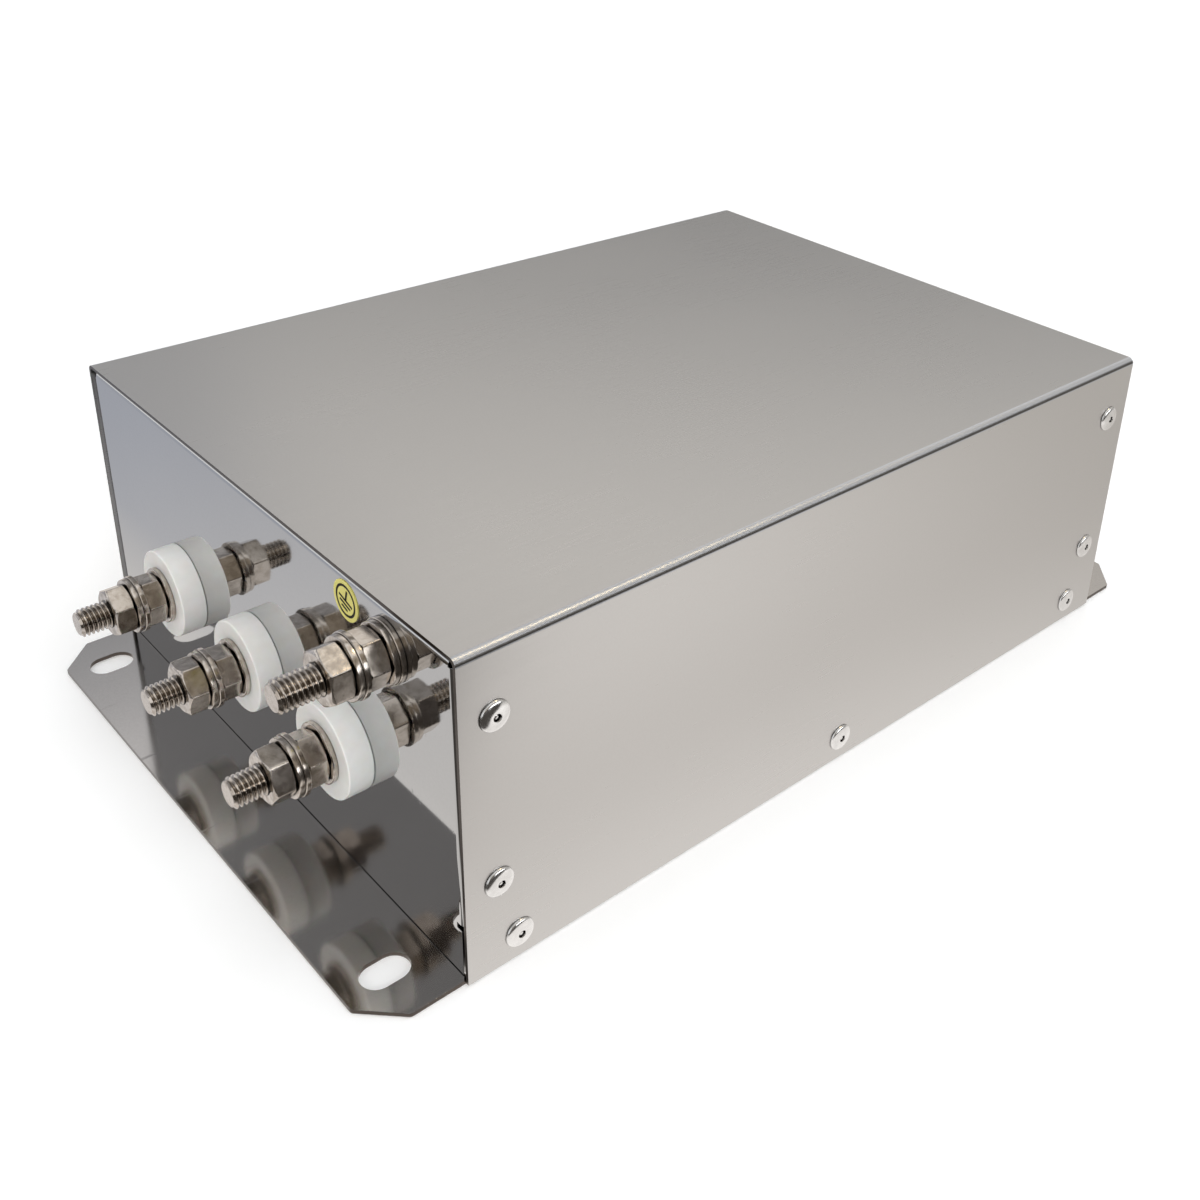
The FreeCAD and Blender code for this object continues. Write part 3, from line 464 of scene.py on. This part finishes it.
class Shape:
    """Points and faces of one piece, built from rows of points."""

    def __init__(self):
        self.points = []
        self.faces = []

    def skin(self, rows, ring):
        """Quads between rows that run round. The last row meets the first one, or both
        ends are closed flat."""
        first, count = len(self.points), len(rows[0])
        for row in rows:
            self.points.extend(row)
        for index in range(len(rows) if ring else len(rows) - 1):
            low = first + index * count
            high = first + (index + 1) % len(rows) * count
            for step in range(count):
                after = (step + 1) % count
                self.faces.append((low + step, low + after, high + after, high + step))
        if not ring:
            self.cap(first, count)
            self.cap(first + (len(rows) - 1) * count, count)

    def cap(self, first, count):
        self.faces.append(tuple(range(first, first + count)))

    def make(self, name, material, slot, sharp=SHARP):
        """The finished object, smooth except at its sharp edges."""
        mesh = bpy.data.meshes.new(name)
        mesh.from_pydata([[MM * value for value in point] for point in self.points], [],
                         self.faces)
        work = bmesh.new()
        work.from_mesh(mesh)
        bmesh.ops.remove_doubles(work, verts=work.verts, dist=SAME_POINT)
        bmesh.ops.recalc_face_normals(work, faces=work.faces)
        for face in work.faces:
            face.smooth = True
        for edge in work.edges:
            edge.smooth = edge.calc_face_angle(0.0) < math.radians(sharp)
        work.to_mesh(mesh)
        work.free()
        mesh.materials.append(material)
        piece = bpy.data.objects.new(name, mesh)
        bpy.context.scene.collection.objects.link(piece)
        flatten_normals(piece)
        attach(piece, "root")
        return piece


def even(count):
    """Angles evenly round a turn."""
    return [TURN * index / count for index in range(count)]


def around(end, axis, x, radius, angle):
    """A point round an axis along X, given for the line end. The angle runs from +Y to +Z."""
    side = ENDS[end]
    return (side * x, side * (axis[0] + radius * math.cos(angle)),
            axis[1] + radius * math.sin(angle))


def lathe(shape, end, axis, profile, steps):
    """A turned ring. profile goes round its section: places along X with their radii."""
    rows = [[around(end, axis, x, radius, angle) for angle in even(steps)]
            for x, radius in profile]
    shape.skin(rows, True)


def rounded(x, radius, outward, size, steps=4):
    """A quarter round at a rim, from the end face to the rim."""
    points = []
    for step in range(steps + 1):
        angle = TURN / 4 * step / steps
        points.append((x - outward * size * (1 - math.cos(angle)),
                       radius - size * (1 - math.sin(angle))))
    return points


def out(start):
    """X at a distance outside the line end's panel."""
    return -PANEL_FACE - start


def within(start):
    """X at a distance inside it."""
    return -PANEL_FACE + PANEL_SHEET + start


# Studs

def thread(shape, end, axis, low, high, steps, form):
    """Closed threaded rod between two places along X, chamfered at both."""
    first, span = len(shape.points), len(form)
    # the spare turns come out pressed together at the ends
    count = (int((high - low) / PITCH) + SPARE_TURNS) * span
    for number in range(count):
        share, radius = form[number % span]
        for index in range(steps):
            x = low + (number // span - 1 + share + index / steps) * PITCH
            x = min(max(x, low), high)
            limit = CREST - TIP_CHAMFER + min(x - low, high - x)
            shape.points.append(around(end, axis, x, min(radius, limit), TURN * index / steps))

    def point(number, step):
        # after a full turn a row goes on as the row one pitch later
        number, step = (number + span, 0) if step == steps else (number, step)
        return first + number * steps + step

    for number in range(count - span - 1):
        for step in range(steps):
            shape.faces.append((point(number, step), point(number, step + 1),
                                point(number + 1, step + 1), point(number + 1, step)))
    shape.cap(first, steps)
    shape.cap(first + (count - 1) * steps, steps)


def stud(name, end, axis, reach, depth, free):
    """Threaded stud, finer where it is seen than between the nuts and inside."""
    shape = Shape()
    joint = out(reach) + free + NUT_HEIGHT / 2
    thread(shape, end, axis, out(reach), joint, FINE_STEPS, FINE_FORM)
    thread(shape, end, axis, joint, within(depth), COARSE_STEPS, COARSE_FORM)
    piece = shape.make(name + "_thread", nickel, "terminal_metal", THREAD_SHARP)
    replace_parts(piece, name)


def place_index(end, phase):
    """Where a phase's stud is in the rows of places from +Y to -Y at the line end."""
    return phase - 1 if end == "line" else len(PHASES) - phase


def studs():
    for end in ENDS:
        for phase in PHASES:
            axis = (STUD_YS[place_index(end, phase)], STUD_Z)
            stud(end + "_stud_" + str(phase), end, axis, LINE_REACH, LINE_DEPTH, LINE_FREE)
    stud("line_earth_stud", "line", EARTH_AXIS, EARTH_REACH, EARTH_DEPTH, EARTH_FREE)


# Nuts and washers

def nut_half(edge):
    """Half a nut's section where its side is edge away: distance along, and radius. Each
    rim takes two points a few hundredths apart, which round it."""
    rim = math.tan(math.radians(NUT_CHAMFER)) * (edge - NUT_FACE)
    return [(NUT_SINK, NUT_BORE), (0.03, NUT_BORE + NUT_SINK - 0.03),
            (0.0, NUT_BORE + NUT_SINK + 0.06), (0.0, NUT_FACE - 0.14),
            (0.03, NUT_FACE + 0.06), (rim - 0.05, edge - 0.08), (rim + 0.08, edge)]


def nut(shape, end, axis, x_low, turn):
    """Hexagon nut, chamfered at 30 degrees, countersunk, its corners slightly rounded."""
    columns = []
    for side in range(6):
        for offset in NUT_OFFSETS:
            from_corner = math.hypot(min(offset, 60 - offset), NUT_CORNER)
            half = nut_half(NUT_FLATS / 2 / math.cos(math.radians(30 - from_corner)))
            whole = half + [(NUT_HEIGHT - along, radius) for along, radius in half[::-1]]
            angle = math.radians(turn + 60 * side + offset)
            columns.append([around(end, axis, x_low + along, radius, angle)
                            for along, radius in whole])
    shape.skin([list(row) for row in zip(*columns)], True)


def flat_washer(shape, end, axis, x_low):
    """Punched washer, rounder in front than behind."""
    x_high = x_low + FLAT_THICK
    front_rim, rear_rim = WASHER_RIMS
    profile = rounded(x_low, FLAT_RADIUS, -1, front_rim)
    profile += rounded(x_high, FLAT_RADIUS, 1, rear_rim)[::-1]
    profile += [(x_high, WASHER_BORE + BORE_BREAK), (x_high - BORE_BREAK, WASHER_BORE),
                (x_low + BORE_BREAK, WASHER_BORE), (x_low, WASHER_BORE + BORE_BREAK)]
    lathe(shape, end, axis, profile, ROUND_STEPS)


def spring_washer(shape, end, axis, x_low, turn):
    """Round-cornered section led round from one side of the slanted split to the other."""
    low, high = x_low + SPRING_CORNER, x_low + SPRING_THICK - SPRING_CORNER
    inner, outer = WASHER_BORE + SPRING_CORNER, SPRING_OUTER - SPRING_CORNER
    section = []
    for x, radius, begin in ((low, inner, 2), (low, outer, 1), (high, outer, 0),
                             (high, inner, 3)):
        for quarter in (1.0, 0.5, 0.0):
            angle = TURN / 4 * (begin + quarter)
            section.append((x + SPRING_CORNER * math.cos(angle),
                            radius + SPRING_CORNER * math.sin(angle)))
    middle = (WASHER_BORE + SPRING_OUTER) / 2
    opening = SPLIT_WIDTH / middle
    start = math.radians(90 + turn) + opening / 2
    slant = math.tan(math.radians(SPLIT_SLANT)) / middle
    rows = []
    for step in range(SPRING_STEPS + 1):
        angle = start + (TURN - opening) * step / SPRING_STEPS
        rows.append([around(end, axis, x, radius,
                            angle - (x - x_low - SPRING_THICK / 2) * slant)
                     for x, radius in section])
    shape.skin(rows, False)


def line_hardware(nuts, flats, springs):
    inner_nut_end = INSULATOR_THICK + FLAT_THICK + NUT_HEIGHT
    for end in ENDS:
        for y, outer_turn, inner_turn, split_turn in zip(STUD_YS, OUTER_TURNS, INNER_TURNS,
                                                         SPLIT_TURNS):
            axis = (y, STUD_Z)
            nut(nuts, end, axis, out(LINE_REACH - LINE_FREE), outer_turn)
            nut(nuts, end, axis, out(inner_nut_end), inner_turn)
            nut(nuts, end, axis, within(LINE_CLAMP_NUT), 0.0)
            nut(nuts, end, axis, within(LINE_LUG_NUT), 0.0)
            flat_washer(flats, end, axis, out(INSULATOR_THICK + FLAT_THICK))
            flat_washer(flats, end, axis, out(inner_nut_end + FLAT_THICK))
            flat_washer(flats, end, axis, within(LINE_CLAMP_NUT - FLAT_THICK))
            spring_washer(springs, end, axis, out(inner_nut_end + FLAT_THICK + SPRING_THICK),
                          split_turn)
            spring_washer(springs, end, axis, within(LINE_LUG_NUT - SPRING_THICK), 0.0)


def earth_hardware(nuts, flats, springs):
    pair = FLAT_THICK + SPRING_THICK
    for start, turn, split_turn in zip((pair + NUT_HEIGHT, 0.0), EARTH_TURNS,
                                       EARTH_SPLIT_TURNS):
        nut(nuts, "line", EARTH_AXIS, out(start + pair + NUT_HEIGHT), turn)
        flat_washer(flats, "line", EARTH_AXIS, out(start + FLAT_THICK))
        spring_washer(springs, "line", EARTH_AXIS, out(start + pair), split_turn)
    nut(nuts, "line", EARTH_AXIS, within(EARTH_CLAMP_NUT), 0.0)
    flat_washer(flats, "line", EARTH_AXIS, within(EARTH_CLAMP_NUT - FLAT_THICK))
    for end in ENDS:
        nut(nuts, end, EARTH_AXIS, within(EARTH_BOARD_NUT), 0.0)
        spring_washer(springs, end, EARTH_AXIS, within(EARTH_BOARD_NUT - SPRING_THICK), 0.0)


def hardware():
    for prefix, fill in (("terminal", line_hardware), ("earth", earth_hardware)):
        shapes = (Shape(), Shape(), Shape())
        fill(*shapes)
        for shape, kind in zip(shapes, ("nuts", "flat_washers", "spring_washers")):
            name = prefix + "_" + kind
            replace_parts(shape.make(name + "_turned", nickel, "terminal_metal"), name)


# Insulators

def insulators():
    face = out(INSULATOR_THICK)
    front_rim, rear_rim = INSULATOR_RIMS
    profile = [(within(SPIGOT_END), WASHER_BORE), (within(SPIGOT_END), SPIGOT_RADIUS),
               (out(0.0), SPIGOT_RADIUS)]
    profile += rounded(out(0.0), INSULATOR_RADIUS, 1, *rear_rim)
    profile += rounded(face, INSULATOR_RADIUS, -1, *front_rim)[::-1]
    profile += [(face, WASHER_BORE + INSULATOR_BREAK), (face + INSULATOR_BREAK, WASHER_BORE)]
    for end in ENDS:
        for phase in PHASES:
            shape = Shape()
            lathe(shape, end, (STUD_YS[place_index(end, phase)], STUD_Z), profile,
                  INSULATOR_STEPS)
            name = end + "_insulator_" + str(phase)
            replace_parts(shape.make(name + "_bush", insulator_white, "insulator_white"), name)


# Rivets

def rivet_profile(grip):
    """The head, and behind it the shank and the bulb that holds the sheets."""
    bulb_radius, bulb_length = RIVET_BULB
    tail_radius, taper = RIVET_TAIL
    bulb_end = -grip - bulb_length
    return list(RIVET_HEAD) + [(0.0, RIVET_SHANK), (-grip, RIVET_SHANK), (-grip, bulb_radius),
                               (bulb_end, bulb_radius), (bulb_end - taper, tail_radius)]


def rivets():
    shape = Shape()
    places = [(x, BASE_RIVET_Z, BASE_GRIP) for x in (-BASE_RIVET_X, 0.0, BASE_RIVET_X)]
    places += [(x, z, END_GRIP) for x in (-END_RIVET_X, END_RIVET_X)
               for z in (LOWER_RIVET_Z, UPPER_RIVET_Z)]
    for side in (-1, 1):
        for x, z, grip in places:
            rows = [[(x + radius * math.cos(angle), side * (HALF_WIDTH + along),
                      z + radius * math.sin(angle)) for angle in even(RIVET_STEPS)]
                    for along, radius in rivet_profile(grip)]
            shape.skin(rows, False)
    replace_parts(shape.make("cover_rivet_heads", rivet_metal, "rivet_metal"), "cover_rivets")


# Earth mark

def earth_sign():
    """Printed ring and earth symbol on the round film, a stem above three bars."""
    shape = Shape()
    film, top = -MARK_FACE, -MARK_FACE - PRINT_THICK
    inner, outer = PRINT_RING
    ring = [(film, inner), (top, inner), (top, outer), (film, outer)]
    lathe(shape, "line", MARK_AXIS, ring, ROUND_STEPS)
    lean = math.radians(MARK_TILT)
    for across, up, half_across, half_up in PRINT_BARS:
        corners = []
        for sideways, upward in ((-1, -1), (1, -1), (1, 1), (-1, 1)):
            u, v = across + sideways * half_across, up + upward * half_up
            corners.append((MARK_AXIS[0] - u * math.cos(lean) + v * math.sin(lean),
                            MARK_AXIS[1] + u * math.sin(lean) + v * math.cos(lean)))
        shape.skin([[(x, y, z) for y, z in corners] for x in (film, top)], False)
    shape.make("earth_sign", mark_black, "mark_film")


# Frame nodes that stay

def soften_edges(name):
    """Worn, slightly rounded edges on a sheet-metal node."""
    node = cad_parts[name]
    weld = node.modifiers.new("weld", "WELD")
    weld.merge_threshold = EDGE_WELD
    bevel = node.modifiers.new("bevel", "BEVEL")
    bevel.width = EDGE_WEAR * MM
    bevel.segments = 2
    bevel.limit_method = "ANGLE"
    bevel.angle_limit = math.radians(EDGE_ANGLE)
    flatten_normals(node)


def dress(name, material):
    """One material on a frame node."""
    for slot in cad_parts[name].material_slots:
        slot.material = material


def dress_nodes():
    dress("cover", cover_metal)
    dress("base_plate", base_metal)
    for name in ("line_end_panel", "load_end_panel"):
        dress(name, panel_metal)
    for name in ("line_end_panel", "load_end_panel", "base_plate"):
        soften_edges(name)
    dress("earth_mark", mark_yellow)
    for name in ("line_inner_insulators", "load_inner_insulators"):
        dress(name, insulator_white)
    for name in ("earth_spacers", "cradle_studs", "cradle_nuts", "load_earth_stud"):
        dress(name, steel)
    dress("winding_lugs", lug_metal)
    for part, material in INNER_MATERIALS.items():
        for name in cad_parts:
            if part in name:
                dress(name, material)


# Studio, in metres

def plane(name, centre, facing, width, height, material):
    """A flat card whose front faces a direction."""
    mesh = bpy.data.meshes.new(name)
    across, tall = width / 2, height / 2
    mesh.from_pydata([(-across, -tall, 0), (across, -tall, 0), (across, tall, 0),
                      (-across, tall, 0)], [], [(0, 1, 2, 3)])
    mesh.materials.append(material)
    card = bpy.data.objects.new(name, mesh)
    card.matrix_world = (Matrix.Translation(centre)
                         @ Vector(facing).to_track_quat("Z", "Y").to_matrix().to_4x4())
    bpy.context.scene.collection.objects.link(card)
    return card


def lamp(name, place, size, power, colour):
    """A large soft lamp aimed at the object. Metal shows the cards, not the lamps."""
    light = bpy.data.lights.new(name, "AREA")
    light.shape = "RECTANGLE"
    light.size = light.size_y = size
    light.energy = power
    light.color = colour
    made = bpy.data.objects.new(name, light)
    aim = Vector(place) - Vector(LAMP_AIM)
    made.matrix_world = (Matrix.Translation(place)
                         @ aim.to_track_quat("Z", "Y").to_matrix().to_4x4())
    made.visible_glossy = False
    bpy.context.scene.collection.objects.link(made)


def background_rays(tree):
    """1 for camera, glossy and transmission rays."""
    path = add(tree, "LightPath").outputs
    seen = joined(tree, "MAXIMUM", path["Is Camera Ray"], path["Is Glossy Ray"])
    return joined(tree, "MAXIMUM", seen, path["Is Transmission Ray"])


def set_world():
    """White for what the camera, metal and glass see, and softer for the light it gives."""
    world = bpy.data.worlds.new("studio")
    bpy.context.scene.world = world
    world.use_nodes = True
    tree = world.node_tree
    tree.nodes.clear()
    strength = ranged(tree, background_rays(tree), 0.0, 1.0, WORLD_LIGHT, 1.0)
    light = add(tree, "Background", {"Color": (1, 1, 1, 1), "Strength": strength})
    result = add(tree, "OutputWorld")
    tree.links.new(light.outputs[0], result.inputs[0])


def floor_material():
    """Pale floor that comes out white where the object's shadow isn't."""
    made, tree, inputs = new_material("floor_white", Roughness=0.6)
    patch = noise(tree, place_of(tree), 3.0, 2.0)
    tree.links.new(blend(tree, patch, *FLOOR_TONES), inputs["Base Color"])
    where = add(tree, "NewGeometry").outputs["Position"]
    away = add(tree, "VectorMath", {0: where}, operation="LENGTH").outputs["Value"]
    lift = joined(tree, "MULTIPLY", background_rays(tree),
                  ranged(tree, away, *LIFT_REACH, *FLOOR_LIFT))
    inputs["Emission Color"].default_value = (1, 1, 1, 1)
    tree.links.new(lift, inputs["Emission Strength"])
    return made


def card_material(name, colours):
    """A lit card's surface. colours gives its colour from a material's node tree."""
    made = bpy.data.materials.new(name)
    made.use_nodes = True
    tree = made.node_tree
    tree.nodes.clear()
    light = add(tree, "Emission", {"Color": colours(tree), "Strength": 1.0})
    result = add(tree, "OutputMaterial")
    tree.links.new(light.outputs[0], result.inputs[0])
    return made


def upright(stops):
    """Colours of a card at shares of its height."""
    def colours(tree):
        where = add(tree, "TexCoord").outputs["Generated"]
        along = add(tree, "SeparateXYZ", {0: where}).outputs["Y"]
        shade_of = (*stops[0][1], 1.0)
        for (low, _), (high, colour) in zip(stops, stops[1:]):
            shade_of = blend(tree, ranged(tree, along, low, high, 0.0, 1.0), shade_of,
                             (*colour, 1.0))
        return shade_of
    return colours


def floor_glow(tree):
    """The floor as metal shows it, a painted reflection: bright by the near corner and darker
    away from it, with a painted shadow of the case beside it and by the line end, and dark in
    front of the table's edge."""
    where = add(tree, "NewGeometry").outputs["Position"]
    away = add(tree, "VectorMath", {0: where, 1: GLOW_CORNER}, operation="DISTANCE")
    near, far = GLOW_REACH
    fall = add(tree, "MapRange", {"Value": away.outputs["Value"], "From Min": near,
                                  "From Max": far}, interpolation_type="SMOOTHSTEP").outputs[0]
    pale = blend(tree, fall, *GLOW_PALE)
    split = add(tree, "SeparateXYZ", {0: where}).outputs
    # painted shadow of the case on the floor beside its side
    beside = joined(tree, "MULTIPLY", ranged(tree, split["Y"], -0.22, -0.145, 0.0, 0.49),
                    ranged(tree, split["Y"], -0.10, -0.135, 0.63, 1.0))
    pale = blend(tree, beside, pale, GLOW_CASE_SHADOW)
    # painted shadow of the case on the floor by the line end
    shaded = blend(tree, fall, *GLOW_SHADED)
    pale = blend(tree, ranged(tree, split["X"], -0.13, -0.16, 0.0, 1.0), pale, shaded)
    ahead = joined(tree, "ADD", split["Y"], joined(tree, "MULTIPLY", split["X"], 1.1))
    edge = ranged(tree, ahead, -0.272, -0.286, 0.0, 1.0)
    return blend(tree, edge, pale, GLOW_DARK)


def reflector(name, place, facing, size, colours):
    """A card that only shows in reflections."""
    card = plane(name, place, facing, *size, card_material(name, colours))
    card.visible_camera = False
    card.visible_diffuse = False
    card.visible_shadow = False
    card.visible_transmission = False


def hung_card(name, azimuth, rise, distance, size, stops):
    """A card round the object and facing it."""
    turn, lift = math.radians(azimuth), math.radians(rise)
    towards = Vector((math.cos(lift) * math.cos(turn), math.cos(lift) * math.sin(turn),
                      math.sin(lift)))
    reflector(name, Vector(CARD_AIM) + distance * towards, -towards, size, upright(stops))


def studio():
    set_world()
    plane("floor", Vector((0, 0, -FLOOR_DROP)), (0, 0, 1), FLOOR_SIZE, FLOOR_SIZE,
          floor_material())
    reflector("floor_sheen", Vector((0, 0, -SHEEN_DROP)), (0, 0, 1), (SHEEN_SIZE, SHEEN_SIZE),
              floor_glow)
    for values in LAMPS:
        lamp(*values)
    for values in CARDS:
        hung_card(*values)


set_camera()
studio()
dress_nodes()
studs()
hardware()
insulators()
rivets()
earth_sign()

bpy.context.scene.view_settings.view_transform = "Standard"
